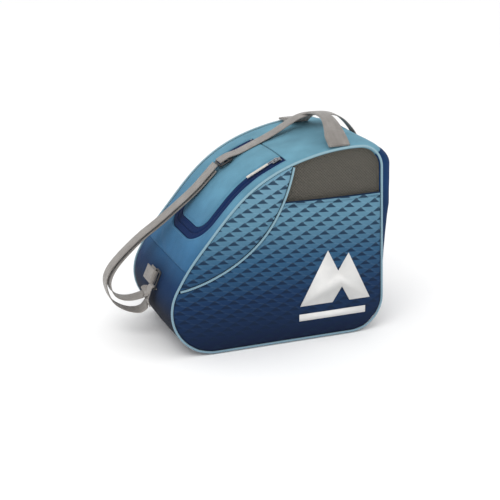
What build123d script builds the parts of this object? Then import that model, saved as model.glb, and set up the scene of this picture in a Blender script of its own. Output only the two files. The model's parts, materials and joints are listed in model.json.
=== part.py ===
from build123d import *
from math import cos, radians, sin, sqrt
import os

# A wedge-shaped boot bag: two flat side panels joined by a bulging gusset, with a zipped
# flap on its slope, a slip pocket in front, a grab handle and a shoulder strap.
# Millimetres. +X runs from the toe to the tall end, -Y is the front, +Z is up.

# Driving dimensions
DEPTH = 222.0  # between the outer faces of the front and back panels
TOE_X, HEEL_X = -116.0, 133.0  # ends of the flat bottom
HEEL, SHOULDER = (190.0, 62.0), (181.0, 287.0)
# From the crest down the slope to the toe: x, z and the angle that the surface faces
SLOPE = [(140, 329, 88), (58, 320, 105), (-22, 290, 115), (-66, 258, 129), (-125, 192, 139), (-178, 116, 152)]
BULGE, END_GAIN, HEEL_GAIN = 5.0, 4.2, 3.0  # the stuffed gusset swells most at the tall end
FLOOR_TRIM = 0.2  # cut off the underside to leave it truly flat
FABRIC, SKIN = 3.0, 1.8  # padded and unpadded fabric
PIPING = 2.5  # radius of the piping round the side panels
PIPING_INSET, PIPING_FLOOR = 0.6, 2.6
POCKET_PIPING = 2.0
HALF = DEPTH / 2
GUSSET_HALF = HALF - 3.4  # the gusset stops at the piping
SEAM_GAP, SEAM_FLOOR = 3.4, 5.4  # the side panels stop this far inside the outline

# Slip pocket in the front
POCKET_TOP, POCKET_GAP, BINDING = 247.0, 5.5, 6.0
POCKET_SEAM = [(25, 316), (6, 248), (-26, 194), (-80, 149), (-190, 114)]  # x, z of the curved seam
MESH, WALL = 1.2, 2.3
MESH_FRONT = SKIN + POCKET_GAP - HALF
WALL_FRONT = MESH_FRONT + MESH + 0.2
WALL_BACK = WALL_FRONT + WALL

# Flap and its zip, measured down the slope from the hinge seam
HINGE_X = 16.0
SLIDER_X, SLIDER_END_X = 6.0, -34.0  # the slider's place and how far it runs straight
FLAP_LENGTH, FLAP_FRONT, FLAP_BACK, FLAP_CORNER = 200.0, 89.0, 64.0, 46.0
TAPE, TAPE_GAP = 11.5, 0.5
TAPE_TOP, TAPE_BOTTOM, COIL = 0.8, 2.2, 2.0
SLIDER_Y = FLAP_FRONT - TAPE - TAPE_GAP / 2

# Webbing
HANDLE_WIDTH, HANDLE_X, HANDLE_TOP, HANDLE_PLY = 38.0, 104.0, 370.0, 2.4
HANDLE_FOOT_Y, HANDLE_FOOT_Z, HANDLE_FREE_Y = 107.0, 331.0, 85.0
STRAP_WIDTH, STRAP_Y, STRAP_PLY = 25.0, 28.0, 2.0

# Adjuster and ring
ADJUSTER_X, ADJUSTER_Z, ADJUSTER_TILT = -47.0, 286.8, 27.0
ADJUSTER_LENGTH, ADJUSTER_WIDTH, ADJUSTER_BAR = 26.0, 33.0, 4.0
TAB_Z, TAB_WIDTH, TAB_PLY = 112.0, 24.0, 2.0
RING_PIVOT_Y, RING_LENGTH, RING_REACH, RING_ROD = -24.0, 34.0, 24.0, 3.4
RING_CLEARANCE = 0.35


def facing(angle):
    return cos(radians(angle)), sin(radians(angle))


def slope_curve(swell, inset=0.0):
    points = []
    for x, z, angle in SLOPE:
        out_x, out_z = facing(angle)
        points.append((x + (swell - inset) * out_x, z + (swell - inset) * out_z))
    ends = [facing(SLOPE[0][2] + 90), facing(SLOPE[-1][2] + 90)]
    return Spline(*points, tangents=ends)


def bag_outline(swell=0.0, inset=0.0, floor=None):
    """Side outline, swollen except at its flat bottom, then inset evenly."""
    floor = inset if floor is None else floor
    slope = slope_curve(swell, inset)
    shoulder = (SHOULDER[0] + END_GAIN * swell - inset, SHOULDER[1])
    heel = (HEEL[0] + HEEL_GAIN * swell - inset, HEEL[1])
    lines = [
        Line((TOE_X, floor), (HEEL_X, floor)),
        TangentArc((HEEL_X, floor), heel, tangent=(1, 0)),
        Line(heel, shoulder),
        TangentArc(slope @ 0, shoulder, tangent=(1, 0)),
        slope,
        TangentArc(slope @ 1, (TOE_X, floor), tangent=slope % 1),
    ]
    return Curve() + lines


def swell_at(y):
    return BULGE * (1 - abs(y / GUSSET_HALF) ** 3)


def slope_point(x, y):
    """The point of the gusset's outer face above x on the slope."""
    curve = slope_curve(swell_at(y))
    low, high = 0.0, 1.0
    for _ in range(40):
        middle = (low + high) / 2
        if curve.position_at(middle).X > x:
            low = middle
        else:
            high = middle
    return Vector(x, y, curve.position_at(low).Y)


def side_view(sketch, y_low, y_high):
    """A sketch of (x, z) drawn in the side view, as a slab between two depths."""
    return Pos(0, y_high, 0) * extrude(Plane.XZ * sketch, y_high - y_low)


def gusset_block(depth):
    """All that lies more than depth below the gusset's outer face."""
    sections = []
    for station in (1, 0.8, 0.45, 0, -0.45, -0.8, -1):
        outline = make_face(bag_outline(swell_at(station * GUSSET_HALF), depth, floor=depth - FLOOR_TRIM))
        sections.append(Pos(0, station * GUSSET_HALF, 0) * (Plane.XZ * outline))
    return loft(sections)


def gusset_layer(top, bottom):
    """The closed band of gusset between two depths below its outer face."""
    return gusset_block(top) - gusset_block(bottom)


def wedge(start, end):
    """A slice of the side view between two angles about the middle of the bag."""
    reach = 520
    corners = [(10, 150)]
    for angle in (start, (start + end) / 2, end):
        corners.append((10 + reach * cos(radians(angle)), 150 + reach * sin(radians(angle))))
    return side_view(make_face(Polyline(*corners, close=True)), -HALF - 5, HALF + 5)


def flap_plane():
    """At the hinge seam: X runs down the slope and Z points out of the bag."""
    hinge = slope_point(HINGE_X, 0)
    return Plane(origin=hinge, x_dir=(-0.806, 0, -0.592), z_dir=(-0.592, 0, 0.806))


def flap_prism(inset, start=0.0):
    """The flap's tongue shape, inset from the edge of its opening, cut through the wall."""
    length = FLAP_LENGTH - inset
    front, back = FLAP_FRONT - inset, FLAP_BACK - inset
    corner = FLAP_CORNER - inset
    turn = corner * (1 - sqrt(0.5))
    # The plane's Y runs to the front
    edge = [
        Line((start, -back), (length - corner, -back)),
        ThreePointArc((length - corner, -back), (length - turn, turn - back), (length, corner - back)),
        Line((length, corner - back), (length, front - corner)),
        ThreePointArc((length, front - corner), (length - turn, front - turn), (length - corner, front)),
        Line((length - corner, front), (start, front)),
        Line((start, front), (start, -back)),
    ]
    tongue = make_face(Curve() + edge)
    return flap_plane() * Pos(0, 0, -70) * extrude(tongue, 130)


def flap_band(outer, inner, start=0.0):
    return flap_prism(outer, start) - flap_prism(inner, start - 1)


def make_top_gusset():
    band = gusset_layer(0, FABRIC) & wedge(44, 180)
    return band - flap_prism(0)


def make_flap():
    return gusset_layer(0, FABRIC) & flap_prism(2 * TAPE + TAPE_GAP, start=0.6)


def make_zip():
    """Tapes, coils and stops, each side of the zip's centre line."""
    tape = gusset_layer(TAPE_TOP, TAPE_BOTTOM)
    coil = gusset_layer(TAPE_BOTTOM + 0.05, TAPE_BOTTOM + 0.05 + COIL)
    middle = TAPE + TAPE_GAP
    stops = Part()
    for centre_line in (-SLIDER_Y - 2.6, FLAP_BACK - TAPE - TAPE_GAP / 2 + 2.6):
        place = slope_point(HINGE_X - 3, centre_line)
        stops += Plane(origin=place, x_dir=(-0.93, 0, -0.37), z_dir=(-0.37, 0, 0.93)) * Box(2.5, 3, 1.2)
    return {
        "body_zip_tape": tape & flap_band(0.1, TAPE, start=0.3),
        "body_zip_coil": coil & flap_band(TAPE - COIL, TAPE, start=0.3),
        "flap_zip_tape": tape & flap_band(middle, middle + TAPE - 0.1, start=0.6),
        "flap_zip_coil": coil & flap_band(middle, middle + COIL, start=0.6),
        "zip_stops": stops,
    }


def slider_plane():
    """On the zip's front leg: X runs down the slope along the slider's travel, Z points out."""
    start = slope_point(SLIDER_X, -SLIDER_Y)
    travel = (slope_point(SLIDER_END_X, -SLIDER_Y) - start).normalized()
    return Plane(origin=start, x_dir=travel, z_dir=(travel.Z, 0, -travel.X))


def block(x_low, x_high, width, z_low, z_high):
    size = (x_high - x_low, width, z_high - z_low)
    return Pos((x_low + x_high) / 2, 0, (z_low + z_high) / 2) * Box(*size)


def make_slider():
    """The slider's plate and bridge, riding above both tapes, and its pull."""
    plane = slider_plane()
    plate = fillet(block(-8, 8, 9.5, 1.0, 2.6).edges().filter_by(Axis.Z), 2.5)
    slider = plate + block(-5, 5, 3, 2.6, 6.8) - block(-2.5, 3, 4, 2.8, 5.6)
    arms = block(0.4, 15, 7.2, 3.6, 4.8) - block(1.6, 9, 4.8, 3, 6)
    link = arms + block(0.4, 1.6, 7.2, 3.6, 4.8)
    grip = fillet(block(15.2, 56, 5.5, 3.0, 5.4).edges().filter_by(Axis.Z), 1.5)
    return {"zip_slider": plane * slider, "zip_pull": plane * link, "zip_pull_grip": plane * grip}


def panel_face(inset):
    return make_face(bag_outline(0, inset, floor=SEAM_FLOOR))


def pocket_seam():
    return Spline(*POCKET_SEAM)


def right_of_seam(gap):
    """The part of the side view to the right of and below the pocket's curved seam."""
    first, last = POCKET_SEAM[0], POCKET_SEAM[-1]
    around = Polyline(last, (-260, 114), (-260, -60), (260, -60), (260, 400), (25, 400), first)
    area = make_face(Curve() + [pocket_seam(), around])
    channel = trace(pocket_seam(), 2 * gap)
    return area - channel


def left_of_seam(gap):
    return panel_face(SEAM_GAP) - right_of_seam(0.01) - trace(pocket_seam(), 2 * gap)


def half_space(z_low, z_high):
    return Pos(0, (z_low + z_high) / 2) * Rectangle(700, z_high - z_low)


def make_front():
    """Front panels, the pocket with its mesh back, and the wall behind them."""
    seam = POCKET_PIPING + 0.25
    right = panel_face(SEAM_GAP) & right_of_seam(seam)
    padded = left_of_seam(seam)
    pocket = right & half_space(-10, POCKET_TOP - BINDING - 0.2)
    binding = right & half_space(POCKET_TOP - BINDING, POCKET_TOP)
    mesh = right & half_space(POCKET_TOP - 35, 400)
    cord = side_view(trace(pocket_seam(), 2 * POCKET_PIPING), -HALF - 1.6, -HALF + 2.4)
    return {
        "front_upper_panel": side_view(padded, -HALF, MESH_FRONT + MESH),
        "front_pocket_panel": side_view(pocket, -HALF, -HALF + SKIN),
        "pocket_binding": side_view(binding, -HALF - 0.4, -HALF + SKIN + 0.4),
        "pocket_mesh": side_view(mesh, MESH_FRONT, MESH_FRONT + MESH),
        "front_wall": side_view(panel_face(SEAM_GAP), WALL_FRONT, WALL_BACK),
        "pocket_piping": cord & side_view(panel_face(SEAM_GAP), -HALF - 5, -HALF + 5),
    }


def make_piping(side):
    """Piping round a side panel, as a band with the cord's width and height."""
    outer = make_face(bag_outline(0, PIPING_INSET - PIPING, floor=PIPING_FLOOR - PIPING))
    inner = make_face(bag_outline(0, PIPING_INSET + PIPING, floor=PIPING_FLOOR + PIPING))
    middle = side * (HALF - 0.8)
    return side_view(outer - inner, middle - PIPING, middle + PIPING)


def make_emblem():
    """Two peaks over a plain bar."""
    peaks = Polyline((36, 62), (84, 156), (104, 118), (122, 148), (166, 62), (126, 62), (112, 88),
                     (96, 62), close=True)
    bar = Pos(96, 42) * Rectangle(122, 12)
    return side_view(make_face(peaks) + bar, -HALF - 0.5, -HALF - 0.02)


def handle_radius():
    rise = HANDLE_TOP - HANDLE_FOOT_Z
    return (HANDLE_FOOT_Y**2 + rise**2) / (2 * rise)


def handle_band(low, high, width, y_start, y_end):
    """A curved strip of the handle's arc, between two depths and two heights off the arc."""
    radius = handle_radius()
    centre = HANDLE_TOP - radius
    rows = []
    for offset in (low, high):
        r = radius + offset
        rows.append([(y, centre + sqrt(r**2 - y**2)) for y in (y_start, (y_start + y_end) / 2, y_end)])
    shape = make_face(
        Curve()
        + [
            ThreePointArc(*rows[0]),
            Line(rows[0][2], rows[1][2]),
            ThreePointArc(*rows[1]),
            Line(rows[1][0], rows[0][0]),
        ]
    )
    return Pos(HANDLE_X - width / 2, 0, 0) * extrude(Plane.YZ * shape, width)


def make_handle():
    ply = HANDLE_PLY / 2
    free, foot = HANDLE_FREE_Y, HANDLE_FOOT_Y
    parts = {"handle_webbing": handle_band(-ply, ply, HANDLE_WIDTH, -free, free)}
    for name, side in (("handle_front_patch", -1), ("handle_back_patch", 1)):
        near, far = sorted((side * (free + 0.3), side * foot))
        parts[name] = handle_band(-ply, ply + 1, HANDLE_WIDTH - 1, near, far)
    return parts


def ribbon(points, y, width, ply):
    """Webbing that follows a smooth route in the side view."""
    return side_view(trace(Spline(*points), ply), y - width / 2, y + width / 2)


def make_strap():
    upper = [
        (204.8, 232), (204.2, 270), (198, 309), (183, 330), (166, 346), (148, 353.5), (120, 355.5),
        (92, 354), (65, 340), (38, 325), (0, 309), (-24, 299), (-35, 297), (-47, 293),
        (-57, 286.5),
    ]
    outer = [
        (-62, 283), (-80, 265), (-100, 244), (-145, 209), (-172, 189), (-199, 171.5), (-243, 133),
        (-260, 111), (-263, 92), (-254, 66), (-234, 53), (-216, 51), (-205, 58), (-201, 70),
    ]
    inner = [
        (-64, 273), (-78, 259), (-98, 239), (-143, 204), (-170, 184), (-197, 166.5), (-238, 130),
        (-254, 109), (-257, 94), (-250, 80), (-236, 75), (-218, 78), (-205, 86),
    ]
    routes = {"strap_upper": upper, "strap_outer_ply": outer, "strap_inner_ply": inner}
    return {name: ribbon(route, STRAP_Y, STRAP_WIDTH, STRAP_PLY) for name, route in routes.items()}


def make_adjuster():
    """A tri-glide: a frame with three bars across the webbing."""
    frame = Box(ADJUSTER_LENGTH, ADJUSTER_WIDTH, 3.2)
    slot = (ADJUSTER_LENGTH - 3 * ADJUSTER_BAR) / 2
    for side in (-1, 1):
        frame -= Pos(side * (slot + ADJUSTER_BAR) / 2, 0, 0) * Box(slot, STRAP_WIDTH + 2, 5)
    frame = fillet(frame.edges().filter_by(Axis.Z).group_by(SortBy.LENGTH)[-1], 1.2)
    return Pos(ADJUSTER_X, STRAP_Y, ADJUSTER_Z) * Rot(0, -ADJUSTER_TILT, 0) * frame


def toe_plane():
    """On the toe's surface at the tab: X runs forward (-Y), Z points out of the bag."""
    toe = bag_outline(BULGE).edges()[-1]
    surface = [toe.position_at(i / 100) for i in range(101)]
    near = min(range(101), key=lambda i: abs(surface[i].Y - TAB_Z))
    along = toe.tangent_at(near / 100)
    out = Vector(along.Y, 0, -along.X)
    place = Vector(surface[near].X, RING_PIVOT_Y, surface[near].Y)
    return Plane(origin=place + 0.4 * out, x_dir=(0, -1, 0), z_dir=out)


def make_toe_fitting():
    """A folded webbing tab and the ring that turns in its fold."""
    plane = toe_plane()
    fold = RING_ROD * sqrt(0.5) + RING_CLEARANCE
    height = TAB_PLY + fold
    leg = 34.0
    loop = Pos(-leg / 2, 0, height) * Box(leg, TAB_WIDTH, 2 * (fold + TAB_PLY))
    loop += Pos(0, 0, height) * Rot(90, 0, 0) * Cylinder(fold + TAB_PLY, TAB_WIDTH)
    loop -= Pos(0, 0, height) * Rot(90, 0, 0) * Cylinder(fold, TAB_WIDTH + 2)
    rod = RING_ROD
    outer = Pos(RING_REACH / 2 - rod / 2, 0, 0) * Box(RING_REACH, RING_LENGTH, rod)
    inner = Pos(RING_REACH / 2 - rod / 2, 0, 0) * Box(RING_REACH - 2 * rod, RING_LENGTH - 2 * rod, 2 * rod)
    ring = outer - inner
    return {"toe_tab": plane * loop, "strap_ring": plane * Pos(0, 0, height) * ring}


def make_parts():
    shell = gusset_layer(0, FABRIC)
    parts = {
        "toe_gusset": shell & wedge(180, 216),
        "bottom_panel": shell & wedge(216, 320.5) & Pos(0, 0, 200) * Box(600, 2 * HALF, 400),
        "end_gusset": shell & wedge(320.5, 404),
        "top_gusset": make_top_gusset(),
        "flap": make_flap(),
        "back_panel": side_view(panel_face(SEAM_GAP), HALF - FABRIC, HALF),
        "base_board": Pos(7, 0, FABRIC + 2.2) * Box(236, 2 * 98, 3),
        "front_piping": make_piping(-1),
        "back_piping": make_piping(1),
        "front_emblem": make_emblem(),
        "adjuster": make_adjuster(),
    }
    for group in (make_zip(), make_slider(), make_front(), make_handle(), make_strap(), make_toe_fitting()):
        parts.update(group)
    return parts


def main():
    parts = make_parts()
    loose = ("strap_upper", "strap_outer_ply", "strap_inner_ply")
    fixed = [Compound(shape.solids()) for name, shape in parts.items() if name not in loose]
    box = Compound(children=fixed).bounding_box()
    centre = Pos(-(box.min.X + box.max.X) / 2, 0, 0)
    print("centre x", (box.min.X + box.max.X) / 2, "box", box)
    os.makedirs("parts", exist_ok=True)
    for name, shape in parts.items():
        export_step(centre * Compound(shape.solids()), f"parts/{name}.step")


main()
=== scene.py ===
import json
import math

import bpy
import numpy as np
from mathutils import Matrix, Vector


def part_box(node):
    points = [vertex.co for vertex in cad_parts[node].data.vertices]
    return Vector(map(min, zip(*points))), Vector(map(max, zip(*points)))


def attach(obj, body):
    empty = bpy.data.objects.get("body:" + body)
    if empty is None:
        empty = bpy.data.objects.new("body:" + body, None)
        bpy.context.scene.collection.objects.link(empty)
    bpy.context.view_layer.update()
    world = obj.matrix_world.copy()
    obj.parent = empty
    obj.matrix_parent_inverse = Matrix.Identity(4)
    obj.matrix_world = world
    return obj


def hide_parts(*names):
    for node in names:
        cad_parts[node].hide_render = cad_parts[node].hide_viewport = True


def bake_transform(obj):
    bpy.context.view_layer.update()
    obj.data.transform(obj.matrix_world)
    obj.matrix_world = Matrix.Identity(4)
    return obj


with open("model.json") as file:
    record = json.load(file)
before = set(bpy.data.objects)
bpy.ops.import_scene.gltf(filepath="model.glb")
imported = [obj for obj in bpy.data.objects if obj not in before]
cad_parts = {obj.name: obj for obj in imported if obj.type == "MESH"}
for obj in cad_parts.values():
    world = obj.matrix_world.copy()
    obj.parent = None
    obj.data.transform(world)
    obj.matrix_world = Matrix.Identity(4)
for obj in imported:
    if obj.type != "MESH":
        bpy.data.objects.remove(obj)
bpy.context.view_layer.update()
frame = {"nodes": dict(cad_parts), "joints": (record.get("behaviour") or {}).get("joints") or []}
JOINTS = {joint["name"]: joint for joint in frame["joints"]}

# Sizes, in metres
MM = 0.001
GUSSET_HALF = 107.6 * MM  # half the gusset's width, up to the piping
BULGE = 5 * MM  # how far the stuffed gusset swells in the middle
FABRIC = 3 * MM  # the padded cloth's thickness
PANEL_INSET = 3.4 * MM  # from the bag's outline to the side panels
PIPING_RADIUS, PIPING_INSET = 2.1 * MM, 0.6 * MM
PIPING_RIB = 3 * MM  # the pitch of the ribs on the piping
SIDE_HALF = 111 * MM  # half the bag's width, at the side panels' faces
FLAP_HALF, FLAP_LENGTH, FLAP_CORNER = 76.5 * MM, 200 * MM, 46 * MM
FLAP_MIDDLE = -12.5 * MM  # the flap sits nearer the front
ZIP_WIDTH = 23.5 * MM
SLOPE_WAY = (-0.806, -0.592)  # x and z of the direction down the slope
STRAP_WIDTH, STRAP_PLY = 25 * MM, 2 * MM
STRAP_Y = 28 * MM  # the strap's middle plane
ROUTE_SHIFT = -2.9632 * MM  # from the strap routes' own zero to the bag's, along x
LOOSE_END_DRIFT = 46 * MM  # how far the two plies come forward to the ring
HANDLE_WIDTH, HANDLE_FOOT_Y = 38 * MM, 106.5 * MM
PATCH_END_Y = 78 * MM  # where a handle patch ends, towards the hand
POCKET_SKIN, PANEL_PLY = 1.6 * MM, 2.4 * MM
MESH_FACE_Y, WALL_FACE_Y = -105.8 * MM, -101.8 * MM
BAG_MIDDLE = (0.007, 0.15)  # x and z, for angles round the outline
SHOULDER_ANGLE, NOSE_ANGLE = 44, 180  # the top gusset's two ends, in degrees
TOE_ANGLE, HEEL_ANGLE = 216, 320.5  # the bottom panel's two ends


# ---- materials


class Nodes:
    """A short way to write a material's node tree."""

    def __init__(self, name, roughness=0.8, metallic=0.0, sheen=0.0, specular=0.3):
        self.material = bpy.data.materials.new(name)
        self.material.use_nodes = True
        self.tree = self.material.node_tree
        self.shader = self.tree.nodes["Principled BSDF"]
        self.set(self.shader, "Roughness", roughness)
        self.set(self.shader, "Metallic", metallic)
        self.set(self.shader, "Sheen Weight", sheen)
        self.set(self.shader, "Specular IOR Level", specular)

    def set(self, node, socket, value):
        if isinstance(value, bpy.types.NodeSocket):
            self.tree.links.new(value, node.inputs[socket])
        else:
            node.inputs[socket].default_value = value

    def math(self, operation, first, second=0.0, clamp=False):
        node = self.tree.nodes.new("ShaderNodeMath")
        node.operation = operation
        node.use_clamp = clamp
        self.set(node, 0, first)
        self.set(node, 1, second)
        return node.outputs[0]

    def dot(self, vector, direction):
        node = self.tree.nodes.new("ShaderNodeVectorMath")
        node.operation = "DOT_PRODUCT"
        self.set(node, 0, vector)
        self.set(node, 1, direction)
        return node.outputs["Value"]

    def combine(self, x, y, z=0.0):
        node = self.tree.nodes.new("ShaderNodeCombineXYZ")
        for i, value in enumerate((x, y, z)):
            self.set(node, i, value)
        return node.outputs[0]

    def place(self):
        return self.tree.nodes.new("ShaderNodeTexCoord").outputs["Object"]

    def cloth(self):
        return self.tree.nodes.new("ShaderNodeTexCoord").outputs["UV"]

    def noise(self, vector, scale, detail=3.0):
        node = self.tree.nodes.new("ShaderNodeTexNoise")
        self.set(node, "Vector", vector)
        self.set(node, "Scale", scale)
        self.set(node, "Detail", detail)
        return node.outputs["Fac"]

    def ramp(self, value, stops):
        """Colours at rising values from 0 to 1."""
        node = self.tree.nodes.new("ShaderNodeValToRGB")
        elements = node.color_ramp.elements
        elements[0].position, elements[0].color = stops[0][0], linear(stops[0][1])
        elements[1].position, elements[1].color = stops[-1][0], linear(stops[-1][1])
        for position, colour in stops[1:-1]:
            elements.new(position).color = linear(colour)
        self.set(node, "Fac", value)
        return node.outputs["Color"]

    def mix(self, amount, first, second, blend="MIX"):
        node = self.tree.nodes.new("ShaderNodeMix")
        node.data_type = "RGBA"
        node.blend_type = blend
        self.set(node, "Factor", amount)
        for socket, value in ((6, first), (7, second)):
            self.set(node, socket, value if isinstance(value, bpy.types.NodeSocket) else linear(value))
        return node.outputs[2]

    def waves(self, value, pitch):
        """0 to 1 and back for each pitch along a length in metres."""
        turn = self.math("MULTIPLY", value, 2 * math.pi / pitch)
        wave = self.math("SINE", turn)
        return self.math("ADD", self.math("MULTIPLY", wave, 0.5), 0.5)

    def bump(self, height, distance, strength=1.0):
        node = self.tree.nodes.new("ShaderNodeBump")
        self.set(node, "Height", height)
        self.set(node, "Distance", distance)
        self.set(node, "Strength", strength)
        self.set(self.shader, "Normal", node.outputs[0])

    def colour(self, value):
        self.set(self.shader, "Base Color", value)

    def height_between(self, low, high):
        """0 at the height low and 1 at high, from the object's own z."""
        z = self.dot(self.place(), (0, 0, 1))
        span = self.math("DIVIDE", self.math("SUBTRACT", z, low), high - low, clamp=True)
        return span


def linear(colour):
    """An sRGB colour of 0 to 255 as linear light."""
    values = [c / 255 for c in colour]
    return tuple(c / 12.92 if c <= 0.04045 else ((c + 0.055) / 1.055) ** 2.4 for c in values) + (1.0,)


def weave_height(m, pitch):
    """Threads over and under, from two crossed waves on the bias of the cloth."""
    uv = m.cloth()
    across = m.waves(m.dot(uv, (1, 1, 0)), pitch)
    along = m.waves(m.dot(uv, (1, -1, 0)), pitch)
    return m.math("MULTIPLY", across, along)


def fabric(name, stops, low, high, pitch=1.5 * MM, depth=0.12 * MM):
    """Woven cloth whose colour changes with height: painted shade, darker lower down, over the cloth's own
    colour.
    """
    m = Nodes(name, roughness=0.82, sheen=0.03, specular=0.12)
    # The ramp by height is painted shade: the cloth is darker lower down
    base = m.ramp(m.height_between(low, high), stops)
    weave = weave_height(m, pitch)
    threads = m.mix(m.math("MULTIPLY", weave, 0.22), base, (0, 0, 0))
    blotch = m.noise(m.place(), 22, 4)
    tint = m.ramp(blotch, [(0.3, (226, 226, 226)), (0.7, (255, 255, 255))])
    m.colour(m.mix(1.0, threads, tint, "MULTIPLY"))
    m.bump(weave, depth)
    return m.material


def printed(name):
    """Shaded cloth with a plain repeat of slanted darts."""
    m = Nodes(name, roughness=0.75, sheen=0.03, specular=0.15)
    shades = [(0.0, (4, 18, 46)), (0.3, (16, 46, 82)), (0.5, (44, 84, 116))]
    shades += [(0.72, (88, 130, 152)), (1.0, (108, 148, 168))]
    base = m.ramp(m.height_between(0.0, 0.30), shades)
    # The repeat's two steps, each as x and z
    first, second = (20.5 * MM, -9.8 * MM), (-12.9 * MM, -6.5 * MM)
    size = first[0] * second[1] - first[1] * second[0]
    u = m.math("FRACT", m.dot(m.place(), (second[1] / size, 0, -second[0] / size)))
    v = m.math("FRACT", m.dot(m.place(), (-first[1] / size, 0, first[0] / size)))
    cell = m.combine(m.math("SUBTRACT", u, 0.5), m.math("SUBTRACT", v, 0.5))
    along = m.dot(cell, (first[0], second[0], 0))
    up = m.dot(cell, (first[1], second[1], 0))
    # A dart: a slanted wedge with a notched tail and a blunt front
    slant = m.math("ADD", up, m.math("MULTIPLY", along, -0.3))
    taper = m.math("ADD", m.math("MULTIPLY", along, 0.36), 2.8 * MM)
    inside = m.math("SUBTRACT", taper, m.math("ABSOLUTE", slant))
    tail_slant = m.math("MULTIPLY", m.math("ABSOLUTE", slant), 0.9)
    tail = m.math("SUBTRACT", tail_slant, m.math("SUBTRACT", along, 6.5 * MM))
    notch = m.math("MINIMUM", inside, tail)
    front = m.math("MINIMUM", notch, m.math("ADD", along, 8.5 * MM))
    dart = m.math("MULTIPLY", front, 1 / (0.5 * MM), clamp=True)
    dark = m.mix(m.math("MULTIPLY", dart, 0.85), base, (8, 30, 56))
    # A pale streak above each dart, stronger towards the top of the bag
    lit_place = m.math("SUBTRACT", up, m.math("ADD", m.math("MULTIPLY", along, -0.3), 4.2 * MM))
    lit = m.math("MULTIPLY", m.math("SUBTRACT", 1.6 * MM, m.math("ABSOLUTE", lit_place)), 300, clamp=True)
    fade = m.math("MULTIPLY", m.height_between(0.02, 0.26), 0.2)
    light = m.mix(m.math("MULTIPLY", lit, fade), dark, (176, 208, 228))
    weave = weave_height(m, 1.6 * MM)
    m.colour(m.mix(m.math("MULTIPLY", weave, 0.2), light, (0, 0, 0)))
    m.bump(weave, 0.1 * MM)
    return m.material


def mesh_material():
    """Spacer mesh: rows of holes on the bias, painted dark as the shade seen through them."""
    m = Nodes("spacer_mesh", roughness=0.85, sheen=0.2, specular=0.2)
    holes = weave_height(m, 5.0 * MM)
    open_hole_painted_shade = m.math("MULTIPLY", m.math("SUBTRACT", holes, 0.42), 4.0, clamp=True)
    yarn = m.ramp(m.noise(m.place(), 240, 2), [(0.3, (70, 68, 62)), (0.7, (96, 92, 84))])
    # The holes are painted near black: painted shade where the mesh is open
    m.colour(m.mix(open_hole_painted_shade, yarn, (14, 15, 15)))
    m.bump(m.math("SUBTRACT", 1.0, open_hole_painted_shade), 0.7 * MM)
    return m.material


def webbing(name, light=(152, 147, 142), dark=(104, 99, 95)):
    """Flat webbing: chevron ribs across its length and a plain edge, with painted shade in the grooves
    between the ribs.
    """
    m = Nodes(name, roughness=0.62, sheen=0.35, specular=0.35)
    uv = m.cloth()
    across = m.dot(uv, (0, 1, 0))
    fold = m.math("PINGPONG", across, 4 * MM)
    rib = m.waves(m.math("ADD", m.dot(uv, (1, 0, 0)), fold), 2.4 * MM)
    # Darker in the grooves between ribs: painted shade, from the same ribs as the bump
    base = m.ramp(rib, [(0.0, dark), (0.75, light), (1.0, light)])
    tint = m.ramp(m.noise(m.place(), 60, 3), [(0.3, (222, 220, 218)), (0.7, (255, 255, 255))])
    m.colour(m.mix(1.0, base, tint, "MULTIPLY"))
    m.bump(rib, 0.25 * MM)
    return m.material


def piping_material():
    m = Nodes("piping_cover", roughness=0.6, sheen=0.2, specular=0.4)
    # Lighter higher up: painted light over the piping's own colour
    shades = [(0.0, (112, 142, 158)), (0.5, (118, 150, 164)), (1.0, (130, 164, 176))]
    m.colour(m.ramp(m.height_between(0.0, 0.33), shades))
    m.bump(m.noise(m.place(), 120, 3), 0.15 * MM)
    return m.material


def knit_tape(name, colour, edge):
    m = Nodes(name, roughness=0.8, sheen=0.02, specular=0.12)
    uv = m.cloth()
    knit = m.waves(m.dot(uv, (1, 0, 0)), 1.6 * MM)
    line = m.waves(m.dot(uv, (0, 1, 0)), 2.2 * MM)
    height = m.math("MULTIPLY", knit, line)
    # The second colour, given as edge, is painted shade in the knit's hollows, from the same height as the
    # bump
    m.colour(m.ramp(height, [(0.0, edge), (1.0, colour)]))
    m.bump(height, 0.3 * MM)
    return m.material


def hard(name, low, high, roughness, metallic=0.0, scale=180, grain=0.06 * MM, specular=0.5):
    """Moulded or cast parts: two close tones and a fine grain."""
    m = Nodes(name, roughness=roughness, metallic=metallic, specular=specular)
    tone = m.noise(m.place(), scale, 4)
    m.colour(m.ramp(tone, [(0.3, low), (0.7, high)]))
    m.bump(tone, grain)
    return m.material


# Cloth colours from low to high: each ramp paints shade, darker lower down, over the cloth's own colour
SKY_STOPS_WITH_PAINTED_SHADE = [(0.0, (30, 74, 120)), (0.35, (64, 116, 156)), (0.7, (96, 148, 174)), (1.0, (108, 158, 178))]
TOE_STOPS_WITH_PAINTED_SHADE = [(0.0, (1, 8, 22)), (0.4, (3, 16, 38)), (0.72, (16, 50, 90)), (1.0, (52, 102, 144))]
SKY = fabric("sky_cloth", SKY_STOPS_WITH_PAINTED_SHADE, 0.10, 0.32)
TOE = fabric("toe_cloth", TOE_STOPS_WITH_PAINTED_SHADE, 0.0, 0.165)
NAVY = fabric("navy_cloth", [(0.0, (6, 28, 58)), (1.0, (10, 54, 100))], 0.0, 0.3)
LINING = fabric("lining_cloth", [(0.0, (24, 27, 33)), (1.0, (38, 42, 50))], 0.0, 0.3, pitch=1.0 * MM)
PRINT = printed("printed_cloth")
MESH = mesh_material()
WEBBING = webbing("grey_webbing")
PIPING = piping_material()
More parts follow.
